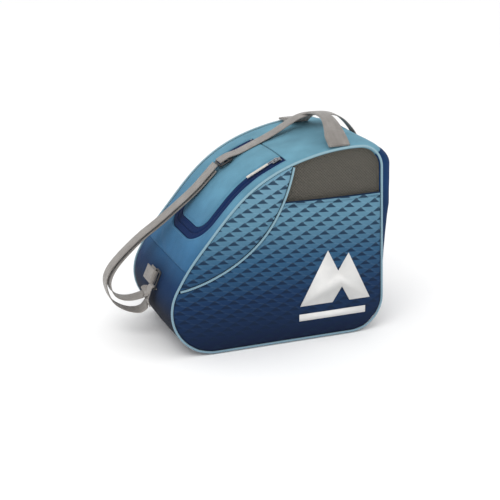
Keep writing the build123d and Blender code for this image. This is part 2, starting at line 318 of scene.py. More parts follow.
# Each knit's second colour is painted shade for its hollows
TAPE = knit_tape("zip_tape_knit", (8, 46, 98), (2, 28, 68))
COIL = knit_tape("zip_coil_nylon", (16, 34, 62), (8, 18, 40))
BINDING = knit_tape("binding_tape", (22, 50, 78), (12, 32, 56))
SILVER = hard("silver_print", (212, 212, 211), (220, 219, 217), 0.5, 0.0, 60, 0.02 * MM)
METAL = hard("cast_metal", (120, 122, 126), (168, 170, 174), 0.35, 0.9)
PULL = hard("pull_cord", (186, 180, 172), (214, 208, 200), 0.55, 0.0, 400, 0.1 * MM)
BLACK = hard("black_plastic", (16, 16, 18), (26, 26, 29), 0.38)
BOARD = hard("stiff_board", (30, 32, 36), (44, 46, 50), 0.8)
SKY_THREAD = hard("sky_thread", (74, 124, 158), (96, 146, 178), 0.7)
NAVY_THREAD = hard("navy_thread", (24, 52, 84), (36, 66, 98), 0.7)
GREY_THREAD = hard("grey_thread", (124, 120, 116), (150, 146, 140), 0.7)


# ---- mesh tools


def new_object(name, data):
    obj = bpy.data.objects.new(name, data)
    bpy.context.scene.collection.objects.link(obj)
    return obj


def add_mesh(name, points, faces, uv, materials, body, node=None, pick=None):
    """A smooth mesh that rides its body; pick gives each face's material."""
    mesh = bpy.data.meshes.new(name)
    mesh.from_pydata([tuple(p) for p in points], [], [tuple(int(i) for i in f) for f in faces])
    for material in materials:
        mesh.materials.append(material)
    layer = mesh.uv_layers.new(name="cloth")
    index = np.zeros(len(mesh.loops), int)
    mesh.loops.foreach_get("vertex_index", index)
    layer.data.foreach_set("uv", np.asarray(uv, float)[index].ravel())
    if pick is not None:
        mesh.polygons.foreach_set("material_index", np.asarray(pick, int))
    mesh.polygons.foreach_set("use_smooth", [True] * len(mesh.polygons))
    mesh.update()
    obj = new_object(name, mesh)
    if body:
        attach(obj, body)
    if node:
        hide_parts(*([node] if isinstance(node, str) else node))
    return obj


def shell(name, outer, inner, quads, uv, materials, body, node=None):
    """A closed sheet: an outer face, an inner face and the edge between them."""
    count = len(outer)
    edges = {}
    for face in quads:
        for a, b in zip(face, face[1:] + face[:1]):
            if (b, a) in edges:
                del edges[(b, a)]
            else:
                edges[(a, b)] = True
    faces = [tuple(f) for f in quads]
    faces += [tuple(i + count for i in reversed(f)) for f in quads]
    rim = [(b, a, a + count, b + count) for a, b in edges]
    pick = [0] * len(quads) + [len(materials) - 1] * len(quads) + [0] * len(rim)
    points = np.vstack([outer, inner])
    return add_mesh(name, points, faces + rim, np.vstack([uv, uv]), materials, body, node, pick)


def grid_quads(rows, wide, keep=None, closed=False):
    """Faces of a grid of points stored row by row."""
    quads = []
    for i in range(rows if closed else rows - 1):
        near, far = i * wide, (i + 1) % rows * wide
        for j in range(wide - 1):
            if keep is None or keep(i, j):
                quads.append([near + j, near + j + 1, far + j + 1, far + j])
    return quads


def soft_noise(u, v, pitch, seed):
    """Smooth unevenness between about -1 and 1: plane waves in random directions."""
    random = np.random.default_rng(seed)
    total = np.zeros(np.broadcast(u, v).shape)
    for _ in range(14):
        turn = random.uniform(0, 2 * np.pi)
        length = pitch * random.uniform(0.7, 1.6)
        phase = random.uniform(0, 2 * np.pi)
        total = total + np.sin((u * np.cos(turn) + v * np.sin(turn)) * 2 * np.pi / length + phase)
    return total / 5


def frames_along(path, side):
    """Unit normals square to a path and a side direction, and unit sideways directions."""
    tangent = np.gradient(path, axis=0)
    tangent /= np.linalg.norm(tangent, axis=1)[:, None]
    side = np.broadcast_to(np.asarray(side, float), path.shape)
    normal = np.cross(side, tangent)
    normal /= np.linalg.norm(normal, axis=1)[:, None]
    across = np.cross(tangent, normal)
    return normal, across


def walked(path):
    """The length along a path up to each of its points."""
    return np.r_[0, np.cumsum(np.linalg.norm(np.diff(path, axis=0), axis=1))]


def columns(*values):
    """Points from their coordinates, where each may be one value for all."""
    return np.column_stack(np.broadcast_arrays(*values))


def ring_faces(rings, sides, start=0, closed=False):
    """Quads between rings of points, with a cap at each open end."""
    faces = []
    for i in range(rings if closed else rings - 1):
        near, far = start + i * sides, start + (i + 1) % rings * sides
        for j in range(sides):
            k = (j + 1) % sides
            faces.append((near + j, near + k, far + k, far + j))
    if not closed:
        last = start + (rings - 1) * sides
        faces.append(tuple(range(start, start + sides))[::-1])
        faces.append(tuple(range(last, last + sides)))
    return faces


def resample(path, step, closed=False):
    """Points an even step apart along a path."""
    points = np.vstack([path, path[:1]]) if closed else path
    lengths = walked(points)
    count = max(int(round(lengths[-1] / step)), 4)
    places = np.linspace(0, lengths[-1], count + 1)[: count if closed else count + 1]
    return np.column_stack([np.interp(places, lengths, points[:, i]) for i in range(points.shape[1])])


def ribbon(name, path, width, ply, side, material, body, node=None):
    """Webbing along a path: a flat closed band with rounded edges."""
    normal, across = frames_along(path, side)
    width = np.broadcast_to(width, len(path))
    ply = np.broadcast_to(ply, len(path))
    # One turn round the cross section: shares of half the width and of half the thickness
    half_turn = [(share, 1 - 0.12 * share**2) for share in np.linspace(-0.94, 0.94, 11)]
    half_turn += [(0.985, 0.6), (1.0, 0.0), (0.985, -0.6)]
    section = np.array(half_turn + [(-x, -z) for x, z in half_turn])
    rows = []
    for i, place in enumerate(path):
        edge = section[:, :1] * across[i] * width[i] / 2
        rows.append(place + edge + section[:, 1:] * normal[i] * ply[i] / 2)
    faces = ring_faces(len(path), len(section))
    uv = [(length, share * wide / 2) for length, wide in zip(walked(path), width) for share in section[:, 0]]
    return add_mesh(name, np.vstack(rows), faces, uv, [material], body, node)


def tube(name, path, radius, material, body, node=None, closed=False, sides=12, side=(0, 1, 0)):
    """A round bar or cord along a path; the radius may vary."""
    if closed:
        wide = np.vstack([path[-1:], path, path[:1]])
        normal, across = (a[1:-1] for a in frames_along(wide, side))
    else:
        normal, across = frames_along(path, side)
    radius = np.broadcast_to(radius, len(path))
    turns = np.linspace(0, 2 * np.pi, sides, endpoint=False)
    ring = np.cos(turns)[:, None, None] * normal + np.sin(turns)[:, None, None] * across
    points = (path + ring * radius[:, None]).transpose(1, 0, 2).reshape(-1, 3)
    # Turned over from a ribbon's, so these faces point inward
    faces = [f[:1] + f[:0:-1] for f in ring_faces(len(path), sides, closed=closed)]
    uv = [(length, turn * size) for length, size in zip(walked(path), radius) for turn in turns]
    return add_mesh(name, points, faces, uv, [material], body, node)


# ---- the bag's outline


def side_corners(node):
    """A CAD piece's corners as x and z."""
    places = {(round(v.co.x, 6), round(v.co.z, 6)) for v in frame["nodes"][node].data.vertices}
    return np.array(sorted(places))


def ordered_rim(node, centre):
    """The corners of a flat panel's outline, in turn about a middle point."""
    places = side_corners(node)
    turn = np.arctan2(places[:, 1] - centre[1], places[:, 0] - centre[0])
    return places[np.argsort(turn)]


def smooth_loop(points, reach):
    """A closed loop's running mean."""
    total = sum(np.roll(points, k, axis=0) for k in range(-reach, reach + 1))
    return total / (2 * reach + 1)


def make_outline():
    """The bag's side outline as length, x, z and outward normal, from the middle of its bottom."""
    low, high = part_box("back_panel")
    middle = ((low.x + high.x) / 2, 0.14)
    rim = resample(ordered_rim("back_panel", middle), 0.8 * MM, closed=True)
    rim = smooth_loop(rim, 3)
    start = np.argmin(np.hypot(rim[:, 0], rim[:, 1]))
    rim = np.roll(rim, -start, axis=0)
    tangent = np.roll(rim, -2, axis=0) - np.roll(rim, 2, axis=0)
    tangent /= np.linalg.norm(tangent, axis=1)[:, None]
    normal = columns(tangent[:, 1], -tangent[:, 0])
    outline = rim + PANEL_INSET * normal
    # The flat bottom is lower than an even offset puts it
    outline[:, 1] -= 2 * MM * np.clip((12 * MM - outline[:, 1]) / (10 * MM), 0, 1)
    return walked(outline), outline, normal


LENGTHS, OUTLINE, NORMALS = make_outline()
ROUND = LENGTHS[-1] + np.linalg.norm(OUTLINE[0] - OUTLINE[-1])
HINGE = Vector(JOINTS["flap_hinge"]["pos_m"])


def along_outline(s):
    """The outline's x and z and its outward normal's x and z, at lengths s."""
    s = np.mod(s, ROUND)
    table = np.column_stack([OUTLINE, NORMALS])
    wrapped = np.vstack([table, table[:1]])
    places = np.r_[LENGTHS, ROUND]
    return [np.interp(s, places, wrapped[:, i]) for i in range(4)]


def length_at_angle(degrees):
    """Where a ray from the middle of the bag crosses the outline."""
    turn = np.degrees(np.arctan2(OUTLINE[:, 1] - BAG_MIDDLE[1], OUTLINE[:, 0] - BAG_MIDDLE[0]))
    turn = np.mod(turn - turn[0], 360)
    return np.interp(np.mod(degrees - (-94.0), 360), turn, LENGTHS)


def slope_table():
    """Distances down the slope from the flap's hinge, with the outline's lengths there."""
    down = (OUTLINE[:, 0] - HINGE.x) * SLOPE_WAY[0] + (OUTLINE[:, 1] - HINGE.z) * SLOPE_WAY[1]
    keep = (NORMALS[:, 1] > -0.2) & (OUTLINE[:, 1] > 0.1) & (OUTLINE[:, 0] < 0.13)
    return down[keep], LENGTHS[keep]


DOWN, DOWN_LENGTHS = slope_table()


def length_down(t):
    """The outline's length at a distance t down the slope from the flap's hinge."""
    return np.interp(t, DOWN, DOWN_LENGTHS)


CREASE = length_down(0.235)  # the soft crease across the toe


def skin(s, y, lift=0.0):
    """Points on the stuffed gusset's outer face, raised by lift."""
    s, y = np.broadcast_arrays(np.asarray(s, float), np.asarray(y, float))
    x, z, out_x, out_z = along_outline(s)
    share = np.clip(np.abs(y) / GUSSET_HALF, 0, 1)
    swell = BULGE * (1 - share**3)
    gain = 3.0 + 1.2 * np.clip((z - 0.062) / 0.225, 0, 1)
    # Uneven cloth: broad softness, puckers beside the piping and one crease at the toe
    edge = np.exp(-(GUSSET_HALF - np.abs(y)) / (14 * MM))
    top = np.clip(out_z + 0.4, 0, 1)
    uneven = 1.1 * MM * soft_noise(s, y * 0.7, 0.11, 5) * (1 - share**4) * top
    uneven = uneven + 0.35 * MM * soft_noise(s, y, 0.028, 6) * (0.25 + edge) * (1 - share**12)
    line = (s - CREASE) + 0.35 * (y - 0.02)
    crease = np.exp(-((line / (6 * MM)) ** 2)) * np.exp(-(((y - 0.03) / 0.04) ** 2))
    uneven = uneven - 1.8 * MM * crease
    rise = lift + uneven
    # The tall end is fuller beside the piping
    corner = np.clip((share - 0.4) / 0.6, 0, 1) * (1 - share**10)
    end = 25 * MM * corner * np.clip(z / 0.22, 0, 1) ** 2 * np.clip(out_x, 0, 1) ** 2
    dx = swell * np.where(out_x > 0, gain * out_x, out_x) + rise * out_x + end
    # The bottom stays flat
    dz = swell * np.maximum(out_z, 0) + np.where(out_z < -0.9, 0, rise * out_z)
    return np.stack([x + dx, y, np.maximum(z + dz, 0)], axis=-1)


# ---- gusset


def seam_dip(distance, depth=1.2 * MM, width=2.6 * MM):
    return -depth * np.exp(-((distance / width) ** 2))


def cloth_on_skin(name, s, y, lift, ply, quads, uv, materials, body, node):
    """A sheet that lies on the bag's skin, from grids of lengths, depths and lifts."""
    outer = skin(s, y, lift).reshape(-1, 3)
    inner = skin(s, y, lift - ply).reshape(-1, 3)
    return shell(name, outer, inner, quads, uv, materials, body, node)


def gusset_piece(name, s, y, quads, materials, node):
    """A gusset piece from grids of lengths and depths.

    It dips at its sewn ends and rolls in at the piping.
    """
    ends = np.minimum(s - s.min(), s.max() - s)
    edge = GUSSET_HALF - np.abs(y)
    lift = seam_dip(ends) + seam_dip(ends - 7 * MM, 0.35 * MM, 1.2 * MM)
    lift = lift - 1.4 * MM * np.exp(-edge / (2.5 * MM))
    uv = columns(s.ravel(), y.ravel())
    cloth_on_skin(name, s, y, lift, FABRIC * 0.9, quads, uv, materials, "bag", node)


def plain_gusset(name, start, end, material, node):
    s = np.linspace(start, end, max(int((end - start) / (2.5 * MM)), 8))
    y = GUSSET_HALF * np.sin(np.linspace(-1, 1, 81) * np.pi / 2 * 0.9) / np.sin(np.pi / 2 * 0.9)
    grid_s, grid_y = np.meshgrid(s, y, indexing="ij")
    gusset_piece(name, grid_s, grid_y, grid_quads(len(s), len(y)), [material, LINING], node)


def tongue_half(t, inset):
    """Half the tongue's width at a distance down the slope, for an edge this far inside."""
    corner = FLAP_CORNER - inset
    into = np.clip(t - (FLAP_LENGTH - FLAP_CORNER), 0, corner)
    return FLAP_HALF - inset - corner + np.sqrt(np.maximum(corner**2 - into**2, 0))


def tongue_rows(start, inset):
    """Distances down the slope, closer together round the tongue's corners."""
    bend = FLAP_LENGTH - FLAP_CORNER
    straight = np.linspace(start, bend, 50)
    turn = bend + (FLAP_CORNER - inset) * np.sin(np.linspace(0, np.pi / 2, 24))
    return np.r_[straight, turn[1:]]


def make_top_gusset():
    """The gusset over the top and down the slope, with the tongue-shaped opening."""
    first = length_at_angle(SHOULDER_ANGLE)
    last = length_at_angle(NOSE_ANGLE)
    rows = tongue_rows(0.0, 0.0)
    hole_s = length_down(rows)
    above = np.linspace(first, hole_s[0], 66)[:-1]
    below = np.linspace(hole_s[-1], last, 22)[1:]
    s = np.r_[above, hole_s, below]
    tip_half = tongue_half(FLAP_LENGTH, 0)
    half = np.r_[np.full(len(above), FLAP_HALF), tongue_half(rows, 0), np.full(len(below), tip_half)]
    side_count = 15
    side = 1 - (1 - np.linspace(0, 1, side_count)) ** 1.6
    grid_y = []
    for width in half:
        left = -GUSSET_HALF + (GUSSET_HALF + FLAP_MIDDLE - width) * side
        middle = np.linspace(FLAP_MIDDLE - width, FLAP_MIDDLE + width, 61)[1:-1]
        right = GUSSET_HALF - (GUSSET_HALF - FLAP_MIDDLE - width) * side
        grid_y.append(np.r_[left, middle, right[::-1]])
    grid_y = np.array(grid_y)
    grid_s = np.repeat(s[:, None], grid_y.shape[1], axis=1)
    top, bottom = len(above), len(above) + len(rows) - 1
    left_end, right_start = side_count - 1, grid_y.shape[1] - side_count

    def beside_opening(i, j):
        return not (top <= i < bottom and left_end <= j < right_start)

    quads = grid_quads(len(s), grid_y.shape[1], beside_opening)
    gusset_piece("top_gusset_cloth", grid_s, grid_y, quads, [SKY, LINING], "top_gusset")


def make_gussets():
    make_top_gusset()
    shoulder = length_at_angle(SHOULDER_ANGLE)
    nose = length_at_angle(NOSE_ANGLE)
    toe = length_at_angle(TOE_ANGLE)
    heel = length_at_angle(HEEL_ANGLE)
    plain_gusset("toe_gusset_cloth", nose, toe, TOE, "toe_gusset")
    plain_gusset("end_gusset_cloth", heel, shoulder, NAVY, "end_gusset")
    plain_gusset("bottom_cloth", toe, heel + ROUND, NAVY, "bottom_panel")


# ---- flap and zip


def tongue_path(inset, start):
    """The tongue's edge as distance down and depth, from the front leg's top round to the back's."""
    rows = tongue_rows(start, inset)
    half = tongue_half(rows, inset)
    front = columns(rows, FLAP_MIDDLE - half)
    back = columns(rows, FLAP_MIDDLE + half)[::-1]
    across = FLAP_MIDDLE + np.linspace(-half[-1], half[-1], 26)[1:-1]
    end = columns(rows[-1], across)
    return np.vstack([front, end, back])


def zip_band(name, outer_inset, inner_inset, start, profile, material, body, node, thickness=1.2 * MM):
    """A strip of the zip between two insets from the tongue's edge."""
    shares = np.linspace(0, 1, len(profile))
    lanes = np.array([tongue_path(outer_inset + (inner_inset - outer_inset) * f, start) for f in shares])
    t, y = lanes[:, :, 0].T, lanes[:, :, 1].T
    s = length_down(t)
    lift = np.broadcast_to(profile, s.shape)
    uv = [(length, f * (inner_inset - outer_inset)) for length in walked(lanes[0]) for f in shares]
    cloth_on_skin(name, s, y, lift, thickness, grid_quads(*s.shape), uv, [material], body, node)


def make_zip():
    """Both tapes, a little sunk at their seams and coil edges, and the coils under them."""
    flat = -0.8 * MM
    dip = -2.0 * MM
    tape = [dip, -1.0 * MM, flat, flat, -0.7 * MM, flat, flat, -1.1 * MM, -1.3 * MM]
    fixed, lid = 0.5 * MM, 0.8 * MM  # where each side starts, below the hinge
    zip_band("body_tape", 0.1 * MM, 11.5 * MM, fixed, tape, TAPE, "bag", "body_zip_tape")
    zip_band("flap_tape", 12 * MM, 23.4 * MM, lid, tape[::-1], TAPE, "flap", "flap_zip_tape")
    under = [-2.3 * MM, -2.0 * MM, -2.3 * MM]
    ply = 1.6 * MM
    zip_band("body_coil", 9.6 * MM, 11.45 * MM, fixed, under, COIL, "bag", "body_zip_coil", ply)
    zip_band("flap_coil", 12.05 * MM, 13.9 * MM, lid, under, COIL, "flap", "flap_zip_coil", ply)


def make_flap():
    """The lid's cloth inside the zip, with a shallow dip round its edge where it is stitched."""
    rows = tongue_rows(0.8 * MM, ZIP_WIDTH)
    half = tongue_half(rows, ZIP_WIDTH)
    share = np.linspace(-1, 1, 75)
    share = np.sign(share) * (1 - (1 - np.abs(share)) ** 1.25)
    t = np.repeat(rows[:, None], len(share), axis=1)
    y = FLAP_MIDDLE + half[:, None] * share
    s = length_down(t)
    edge = np.minimum(half[:, None] * (1 - np.abs(share)), rows[-1] - t)
    edge = np.minimum(edge, 60 * MM)
    lift = 0.4 * MM - 1.6 * MM * np.exp(-edge / (1.6 * MM)) + seam_dip(edge - 4.5 * MM, 0.5 * MM, 1.2 * MM)
    # The cross seam, where the lid hinges
    lift = lift + seam_dip(t - rows[0], 1.4 * MM, 2.4 * MM)
    uv = columns(s.ravel(), y.ravel())
    quads = grid_quads(*s.shape)
    ply = FABRIC * 0.85
    cloth_on_skin("flap_cloth", s, y, lift, ply, quads, uv, [SKY, LINING], "flap", "flap")


# ---- side panels


def panel(name, node, centre, face_y, crown, material, slot, thickness, out=-1, roll=1.2 * MM, extra=None):
    """A flat panel filled from its outline to a middle point, softly crowned, with a rolled edge."""
    rim = resample(ordered_rim(node, centre), 2.2 * MM, closed=True)
    # Shares of the way out to the rim, closer together near it
    lanes = (1 - (1 - np.linspace(0, 1, 34)) ** 1.7)[1:]
    middle = np.array(centre)
    places = middle + (rim - middle)[:, None, :] * lanes[None, :, None]
    x, z = places[:, :, 0], places[:, :, 1]
    reach = np.linalg.norm(rim - middle, axis=1)[:, None] * (1 - lanes)
    inward = np.clip(reach / (40 * MM), 0, 1)
    rise = crown * (1 - (1 - inward) ** 2.2) - roll * np.exp(-reach / (2 * MM))
    rise = rise + seam_dip(reach - 5 * MM, 0.35 * MM, 1.2 * MM)
    rise = rise + 0.5 * MM * soft_noise(x, z, 0.09, 11) * inward
    rise = rise + 0.25 * MM * soft_noise(x, z, 0.02, 12) * np.exp(-reach / (12 * MM))
    if extra is not None:
        rise = rise + extra(x, z)
    count = len(lanes)
    outer = columns(x.ravel(), (face_y + out * rise).ravel(), z.ravel())
    outer = np.vstack([outer, [middle[0], face_y + out * rise[:, 0].mean(), middle[1]]])
    inner = outer.copy()
    inner[:, 1] -= out * thickness
    quads = grid_quads(len(rim), count, closed=True)
    hub = len(outer) - 1
    quads += [[i * count, ((i + 1) % len(rim)) * count, hub] for i in range(len(rim))]
    # The quads face -Y, so both the front's and the back's faces point into the bag
    ahead = quads if out > 0 else [q[::-1] for q in quads]
    shell(name, outer, inner, ahead, outer[:, [0, 2]], [material, LINING], "bag", node)


def make_panels():
    upper, skin_middle, mesh_middle = (-0.055, 0.215), (0.062, 0.11), (0.092, 0.275)
    side_middle = (0.02, 0.14)
    crown = 2.2 * MM
    cloth = (PRINT, "print_fabric")
    panel("front_upper_cloth", "front_upper_panel", upper, -SIDE_HALF, crown, *cloth, PANEL_PLY)
    panel("front_pocket_cloth", "front_pocket_panel", skin_middle, -SIDE_HALF, crown, *cloth, POCKET_SKIN)
    low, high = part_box("pocket_mesh")

    def toward_rim(x, z):
        return -1.5 * MM * np.clip((z - low.z) / 0.02, 0, 1)

    mesh = (MESH, "mesh", 1.2 * MM)
    panel("pocket_mesh_cloth", "pocket_mesh", mesh_middle, MESH_FACE_Y, 0.0, *mesh, -1, -1.5 * MM, toward_rim)
    panel("front_wall_cloth", "front_wall", side_middle, WALL_FACE_Y, 0.2 * MM, LINING, "lining", 1.6 * MM)
    panel("back_cloth", "back_panel", side_middle, SIDE_HALF, 2.6 * MM, *cloth, PANEL_PLY, out=1)


def ribbed_radius(count, step, radius):
    turn = np.arange(count) * step * 2 * np.pi / PIPING_RIB
    return radius * (0.92 + 0.11 * np.sin(turn))


def make_piping():
    step = PIPING_RIB / 5
    lined = OUTLINE - PIPING_INSET * NORMALS
    # The cords keep clear of the ground
    lined[:, 1] += 2 * MM * np.clip((10 * MM - lined[:, 1]) / (8 * MM), 0, 1)
    lined = resample(lined, step, closed=True)
    for name, node, y in (("front_piping_cord", "front_piping", -1), ("back_piping_cord", "back_piping", 1)):
        path = columns(lined[:, 0], y * (SIDE_HALF - 0.8 * MM), lined[:, 1])
        radius = ribbed_radius(len(path), step, PIPING_RADIUS)
        tube(name, path, radius, PIPING, "bag", node, closed=True, sides=10)


def pocket_seam_path():
    """The middle of the pocket's piping, from its CAD band."""
    places = side_corners("pocket_piping")
    foot, top = places[np.argmin(places[:, 0])], places[np.argmax(places[:, 1])]
    middle = (foot + top) / 2 + np.array([-0.09, 0.12])
    turn = np.arctan2(places[:, 1] - middle[1], places[:, 0] - middle[0])
    order = np.argsort(turn)
    places, turn = places[order], turn[order]
    reach = np.hypot(places[:, 0] - middle[0], places[:, 1] - middle[1])
    turns = np.linspace(turn[0], turn[-1], 90)
    wide = turns[1] - turns[0]
    near = [reach[np.abs(turn - a) < 3 * wide] for a in turns]
    radius = np.array([(r.min() + r.max()) / 2 for r in near])
    return columns(middle[0] + radius * np.cos(turns), middle[1] + radius * np.sin(turns))


def make_pocket_trim():
    seam = pocket_seam_path()
    step = PIPING_RIB / 5
    smooth = resample(seam, 4 * MM)
    kernel = np.ones(7) / 7
    padded = np.vstack([smooth[:1].repeat(3, 0), smooth, smooth[-1:].repeat(3, 0)])
    smooth = np.column_stack([np.convolve(padded[:, i], kernel, "valid") for i in range(2)])
    line = resample(smooth, step)
    path = columns(line[:, 0], -SIDE_HALF - 0.4 * MM, line[:, 1])
    radius = ribbed_radius(len(path), step, 2 * MM)
    tube("pocket_piping_cord", path, radius, PIPING, "bag", "pocket_piping", sides=10)
    low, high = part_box("pocket_binding")
    x = np.linspace(low.x + 1 * MM, high.x - 1 * MM, 90)
    sag = 0.8 * MM * np.sin((x - low.x) / (high.x - low.x) * np.pi)
    path = columns(x, -SIDE_HALF + 0.6 * MM - 0.8 * sag, (low.z + high.z) / 2 - sag)
    ribbon("pocket_hem", path, 5.8 * MM, 2.2 * MM, (0, 0, 1), PRINT, "bag", "pocket_binding")
    path[:, 2] += 2.4 * MM
    ribbon("pocket_binding_tape", path, 1.8 * MM, 2.9 * MM, (0, 0, 1), BINDING, "bag")


def make_emblem():
    """Two peaks over a bar, drawn in shares of the print's width and height."""
    low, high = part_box("front_emblem")
    wide, tall = high.x - low.x, high.z - low.z
    peaks = [(0.01, 0.22), (0.38, 1.0), (0.53, 0.68), (0.67, 0.93)]
    peaks += [(0.99, 0.22), (0.70, 0.22), (0.59, 0.44), (0.46, 0.22)]
    bar = [(0.0, 0.0), (0.93, 0.0), (0.93, 0.1), (0.0, 0.1)]
    points, faces = [], []
    for shape in (peaks, bar):
        start = len(points)
        points += [(low.x + u * wide, low.z + v * tall) for u, v in shape]
        faces.append([start + i for i in range(len(shape))])
    flat = np.array(points)
    outer = columns(flat[:, 0], -SIDE_HALF - 2.75 * MM, flat[:, 1])
    inner = outer.copy()
    inner[:, 1] += 0.9 * MM
    faces = [f[::-1] for f in faces]
    shell("front_emblem_print", outer, inner, faces, flat, [SILVER], "bag", "front_emblem")


# ---- webbing and fittings


def nurbs_path(points):
    """Points read off a smooth spline that follows the strap's route."""
    curve = bpy.data.curves.new("route", "CURVE")
    curve.dimensions = "3D"
    curve.resolution_u = 10
    spline = curve.splines.new("NURBS")
    spline.points.add(len(points) - 1)
    for point, place in zip(spline.points, points):
        point.co = (*place, 1)
    spline.order_u = 3
    spline.use_endpoint_u = True
    obj = new_object("route", curve)
    bpy.context.view_layer.update()
    mesh = bpy.data.meshes.new_from_object(obj.evaluated_get(bpy.context.evaluated_depsgraph_get()))
    path = np.array([v.co for v in mesh.vertices])
    bpy.data.objects.remove(obj)
    bpy.data.curves.remove(curve)
    bpy.data.meshes.remove(mesh)
    return path


# The strap's routes, as x and z in millimetres
UPPER_ROUTE = [
    (204.8, 232), (204.2, 270), (198, 309), (183, 330), (166, 346), (148, 353.5), (120, 355.5),
    (92, 354), (65, 340), (38, 325), (0, 309), (-24, 299), (-35, 297), (-47, 293), (-57, 286.5),
]
OUTER_ROUTE = [
    (-62, 283), (-80, 265), (-100, 244), (-145, 209), (-172, 189), (-199, 171.5), (-243, 133),
    (-260, 111), (-263, 92), (-254, 66), (-234, 53), (-216, 51), (-205, 58), (-201, 70),
]
INNER_ROUTE = [
    (-64, 273), (-78, 259), (-98, 239), (-143, 204), (-170, 184), (-197, 166.5), (-238, 130),
    (-254, 109), (-257, 94), (-250, 80), (-236, 75), (-218, 78), (-205, 86),
]


def joint_line(name):
    """A joint's place and the direction of its axis."""
    return np.array(JOINTS[name]["pos_m"]), np.array(JOINTS[name]["axis"])


def make_ring_fold(name, start):
    """The strap's last reach, which curls up the toe and round the ring's lower bar."""
    pivot, bar_way = joint_line("ring_hinge")
    bar = pivot + 15.3 * MM * bar_way + [0, -12 * MM, 0]
    start = np.array(start)
    points = [
        start,
        start * 0.6 + bar * 0.4 + [-0.006, 0, 0],
        bar + [-0.007, 0, -0.004],
        bar + [-0.004, 0, 0.0045],
        bar + [0.0025, 0, 0.0045],
        bar + [0.0045, 0, -0.001],
    ]
    path = resample(nurbs_path(points), 1.5 * MM)
    # The webbing narrows to go through the ring
    width = np.linspace(STRAP_WIDTH, 16.5 * MM, len(path))
    fold = ribbon(name, path, width, STRAP_PLY, (0, 1, 0), WEBBING, None)
    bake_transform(fold)


def make_strap(name, route, node, start, end, drift=0.0):
    """A loose length of the strap; it returns where it ends."""
    places = [(x * MM + ROUTE_SHIFT, STRAP_Y, z * MM) for x, z in route]
    if drift:
        # The loose end comes forward to the ring over its last points
        last = 7
        for i in range(last):
            x, y, z = places[i - last]
            places[i - last] = (x, y - drift * ((i + 1) / last) ** 1.5, z)
    path = resample(nurbs_path(places), 2.5 * MM)
    strap = ribbon(name, path, STRAP_WIDTH, STRAP_PLY, (0, 1, 0), WEBBING, None, node)
    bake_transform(strap)
    return path[-1]


def make_straps():
    """The strap's upper length and its two plies, each ply with a fold round the ring."""
    hinge_blend = (0.07, STRAP_Y, 0.343), (0.012, STRAP_Y, 0.318)
    tip_blend = (-0.235, STRAP_Y, 0.13), (-0.137, STRAP_Y, 0.213)
    make_strap("strap_upper_webbing", UPPER_ROUTE, "strap_upper", *hinge_blend)
    for name, route, node in (
        ("strap_outer_webbing", OUTER_ROUTE, "strap_outer_ply"),
        ("strap_inner_webbing", INNER_ROUTE, "strap_inner_ply"),
    ):
        end = make_strap(name, route, node, *tip_blend, drift=LOOSE_END_DRIFT)
        make_ring_fold(name + "_fold", tuple(end))


def slack_arc(count=120):
    """The handle's line: a low arch that lands short of its back foot."""
    low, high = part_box("handle_webbing")
    x = (low.x + high.x) / 2
    y = np.linspace(-HANDLE_FOOT_Y, HANDLE_FOOT_Y, count)
    crest = (OUTLINE[:, 1] > 0.25) & (np.abs(OUTLINE[:, 0] - x) < 0.05)
    order = np.argsort(OUTLINE[crest, 0])
    s = np.interp(x, OUTLINE[crest, 0][order], LENGTHS[crest][order])
    ground = skin(np.full(count, s), y, 2.6 * MM)[:, 2]
    share = np.clip((y + HANDLE_FOOT_Y) / (170 * MM), 0, 1)
    lift = 30 * MM * np.sin(np.pi * share) ** 0.9
    return columns(x, y, ground + lift)


def foot_path(side, offset):
    """Along the handle's sewn foot, just above its webbing, from the piping inward."""
    arc = slack_arc(400)
    y = side * np.linspace(HANDLE_FOOT_Y + 0.3 * MM, PATCH_END_Y, 40)
    z = np.interp(y, arc[:, 1], arc[:, 2]) + offset
    return columns(arc[0, 0], y, z)


def make_handle():
    path = slack_arc()
    share = np.clip(np.abs(path[:, 1] + 0.015) / 0.078, 0, 1)
    # Folded narrower and thicker where the hand holds it
    width = HANDLE_WIDTH * (0.56 + 0.44 * np.clip((share - 0.2) / 0.75, 0, 1) ** 1.4)
    path[:, 0] += 7 * MM * (1 - share**2)
    ply = 2.4 * MM * (1 + 0.9 * (1 - np.clip((share - 0.2) / 0.5, 0, 1)))
    grip = ribbon("handle_grip", path, width, ply, (1, 0, 0), WEBBING, None, "handle_webbing")
    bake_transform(grip)
    for side, node in ((-1, "handle_front_patch"), (1, "handle_back_patch")):
        path = foot_path(side, 1.9 * MM)
        # A patch ends in a half round
        rounding = np.clip((np.abs(path[:, 1]) - PATCH_END_Y) / (14 * MM), 0.02, 1)
        width = (HANDLE_WIDTH - 0.5 * MM) * np.sqrt(1 - (1 - rounding) ** 2)
        ribbon(node + "_webbing", path, width, 1.6 * MM, (1, 0, 0), WEBBING, "bag", node)
        half = 15.5 * MM
        outer, shoulder, inner = 0.104, 0.088, 0.0825
        corners = [(-half, outer), (-half, shoulder), (-0.5 * half, inner), (0.5 * half, inner)]
        corners += [(half, shoulder), (half, outer), (-half, outer), (half, shoulder)]
        height = [np.interp(y, np.abs(path[::-1, 1]), path[::-1, 2]) for u, y in corners]
        lines = np.array([(path[0, 0] + u, side * y, z + 0.9 * MM) for (u, y), z in zip(corners, height)])
        stitches(node + "_stitches", lines, GREY_THREAD, "bag")


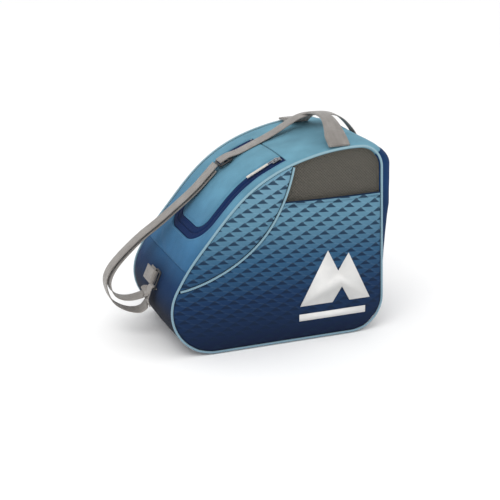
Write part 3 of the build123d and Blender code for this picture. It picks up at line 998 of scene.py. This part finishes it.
def rounded_loop(half_long, half_wide, corner, origin, long_axis, wide_axis, count=10):
    """A closed rounded rectangle in the plane of two axes."""
    points = []
    for a, b, turn in ((1, 1, 0), (-1, 1, 90), (-1, -1, 180), (1, -1, 270)):
        for k in range(count):
            angle = math.radians(turn + 90 * k / (count - 1))
            u = a * (half_long - corner) + corner * math.cos(angle)
            v = b * (half_wide - corner) + corner * math.sin(angle)
            points.append(origin + u * long_axis + v * wide_axis)
    return np.array(points)


def stitches(name, path, material, body, pitch=3.0 * MM, width=0.8 * MM, closed=False):
    """A row of short raised threads along a path, all in one mesh."""
    ends = resample(np.asarray(path), pitch / 4, closed)
    points, faces = [], []
    up = np.array([0.0, 0.0, 1.0])
    for i in range(0, len(ends) - 4, 4):
        a, b = ends[i], ends[i + 3]
        way = (b - a) / np.linalg.norm(b - a)
        if abs(way[2]) > 0.9:
            up = np.array([0.0, -1.0, 0.0])
        across = np.cross(way, up)
        across /= np.linalg.norm(across)
        over = np.cross(across, way)
        faces += ring_faces(4, 6, len(points))
        for place, size in ((a, 0.35), (a * 0.7 + b * 0.3, 1.0), (a * 0.3 + b * 0.7, 1.0), (b, 0.35)):
            for turn in range(6):
                angle = turn * math.pi / 3
                points.append(place + (across * math.cos(angle) + over * math.sin(angle)) * size * width / 2)
    uv = np.array(points)[:, [0, 2]]
    return add_mesh(name, points, faces, uv, [material], body)


def make_stitching():
    rows = (("flap_stitches", 27 * MM, "flap", 3 * MM), ("zip_stitches", -2.6 * MM, "bag", 0.0))
    for name, inset, body, start in rows:
        t, y = tongue_path(inset, start).T
        stitches(name, skin(length_down(t), y, 0.35 * MM), SKY_THREAD, body)
    low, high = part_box("pocket_binding")
    x = np.linspace(low.x + 3 * MM, high.x - 3 * MM, 60)
    row = columns(x, -SIDE_HALF - 0.7 * MM, low.z + 1.2 * MM)
    stitches("binding_stitches", row, NAVY_THREAD, "bag")


def make_adjuster():
    """The tri-glide: a rounded rim, a middle bar and the webbing's turn over it."""
    centre, along = joint_line("adjuster_slide")
    across = np.array([0.0, 1.0, 0.0])
    up = np.cross(across, along)
    up = up if up[2] > 0 else -up
    loop = rounded_loop(11 * MM, 14.6 * MM, 4 * MM, centre, along, across, 8)
    tube("adjuster_rim", loop, 2.2 * MM, BLACK, "adjuster", "adjuster", closed=True, side=up)
    bar = centre + np.linspace(-14 * MM, 14 * MM, 16)[:, None] * across
    tube("adjuster_bar", bar, 1.8 * MM, BLACK, "adjuster", side=up)
    turn = np.linspace(0.02, 0.98, 22) * np.pi
    hump = centre + np.cos(turn)[:, None] * along * 5.6 * MM + np.sin(turn)[:, None] * up * 4.0 * MM
    width = STRAP_WIDTH - 3 * MM
    ribbon("adjuster_fold", hump, width, 1.6 * MM, across, WEBBING, "adjuster")


def make_toe_fitting():
    """The ring, and the tab of webbing folded round its inner bar."""
    pivot, bar_way = joint_line("ring_hinge")
    front = np.array([0.0, -1.0, 0.0])
    out = np.array([bar_way[2], 0.0, -bar_way[0]])
    rod = 3.4 * MM  # the ring's bar, across
    centre = pivot + front * (12 * MM - rod / 2)
    loop = rounded_loop(12 * MM - rod / 2, 17 * MM - rod / 2, 3 * MM, centre, front, bar_way, 8)
    tube("toe_ring", loop, rod / 2, BLACK, "ring", "strap_ring", closed=True, side=out)
    fold = 3.9 * MM  # the fold's radius, to the middle of the webbing
    flat = np.linspace(-34 * MM, 0, 16)
    turn = np.radians(np.linspace(-90, 90, 14)[1:-1])
    under = [pivot + front * f - out * fold for f in flat]
    nose = [pivot + front * fold * math.cos(a) + out * fold * math.sin(a) for a in turn]
    over = [pivot + front * f + out * fold for f in flat[::-1]]
    path = np.array(under + nose + over)
    ribbon("toe_tab_webbing", path, 24 * MM, 2 * MM, bar_way, WEBBING, "bag", "toe_tab")


def make_slider():
    """The zip's slider, its link and its long grip."""
    origin, along = joint_line("zip_travel")
    up = np.array([-0.4556, 0.0, 0.890])  # out of the zip, square to its travel
    side = np.array([0.0, 1.0, 0.0])
    rows = np.linspace(-8, 8, 18) * MM
    path = origin + rows[:, None] * along + 2.0 * MM * up
    width = 9.5 * MM * np.sqrt(np.clip(1 - (rows / (9.2 * MM)) ** 4, 0.1, 1))
    ribbon("slider_plate", path, width, 2 * MM, side, METAL, "slider", "zip_slider")
    turn = np.linspace(0, np.pi, 14)
    height = 2.4 * MM + np.sin(turn)[:, None] * 3.6 * MM
    bridge = origin + np.cos(turn)[:, None] * along * 4.2 * MM + height * up
    tube("slider_bridge", bridge, 0.9 * MM, METAL, "slider", side=side)
    link_middle = origin + 8 * MM * along + 4.2 * MM * up
    link = rounded_loop(6.6 * MM, 2.8 * MM, 2.6 * MM, link_middle, along, side, 6)
    tube("pull_link", link, 0.75 * MM, METAL, "pull", "zip_pull", closed=True, side=up)
    rows = np.linspace(14.5, 56, 40) * MM
    path = origin + rows[:, None] * along + 4.2 * MM * up
    # Narrower at the link, and rounded off at the far end
    width = 5.5 * MM * (1 - 0.25 * np.exp(-(rows - rows[0]) / (3 * MM)))
    width = width * np.clip((rows[-1] + 1 * MM - rows) / (2 * MM), 0.4, 1)
    ribbon("pull_grip", path, width, 2.4 * MM, side, PULL, "pull", "zip_pull_grip")


def dress_hidden():
    """Nodes whose CAD shape is right keep it, with better materials."""
    for node, material in (("base_board", BOARD), ("zip_stops", METAL)):
        mesh = frame["nodes"][node].data
        mesh.materials.clear()
        mesh.materials.append(material)


# ---- stage


def look_along(obj, direction):
    obj.rotation_euler = Vector(direction).to_track_quat("-Z", "Y").to_euler()


def make_camera():
    data = bpy.data.cameras.new("camera")
    data.lens = 86.4
    data.sensor_width = 36
    camera = new_object("camera", data)
    camera.location = (-0.7107, -1.8172, 0.8207)
    turn, tilt = math.radians(21), math.radians(19.5)
    look_along(camera, (math.sin(turn) * math.cos(tilt), math.cos(turn) * math.cos(tilt), -math.sin(tilt)))
    bpy.context.scene.camera = camera


def area_light(name, place, target, size, power):
    data = bpy.data.lights.new(name, "AREA")
    data.size = size
    data.energy = power
    light = new_object(name, data)
    light.location = place
    look_along(light, Vector(target) - Vector(place))


def make_stage():
    points = [(-6, -6, -0.001), (6, -6, -0.001), (6, 6, -0.001), (-6, 6, -0.001)]
    mesh = bpy.data.meshes.new("floor")
    mesh.from_pydata(points, [], [(0, 1, 2, 3)])
    floor = new_object("floor", mesh)
    m = Nodes("pale_floor", roughness=0.9, specular=0.1)
    tone = m.noise(m.place(), 3, 2)
    m.colour(m.ramp(tone, [(0.3, (254, 254, 254)), (0.7, (255, 255, 255))]))
    mesh.materials.append(m.material)
    world = bpy.data.worlds.new("studio")
    world.use_nodes = True
    background = world.node_tree.nodes["Background"]
    background.inputs["Color"].default_value = (1, 1, 1, 1)
    background.inputs["Strength"].default_value = 1.0
    bpy.context.scene.world = world
    bpy.context.scene.view_settings.view_transform = "Standard"
    area_light("key", (-1.0, -1.3, 2.0), (0, 0, 0.15), 1.2, 16)
    area_light("fill", (1.4, -1.8, 0.9), (0, 0, 0.15), 1.6, 3)


make_gussets()
make_zip()
make_flap()
make_panels()
make_piping()
make_pocket_trim()
make_emblem()
make_straps()
make_handle()
make_adjuster()
make_toe_fitting()
make_slider()
make_stitching()
dress_hidden()
make_stage()
make_camera()
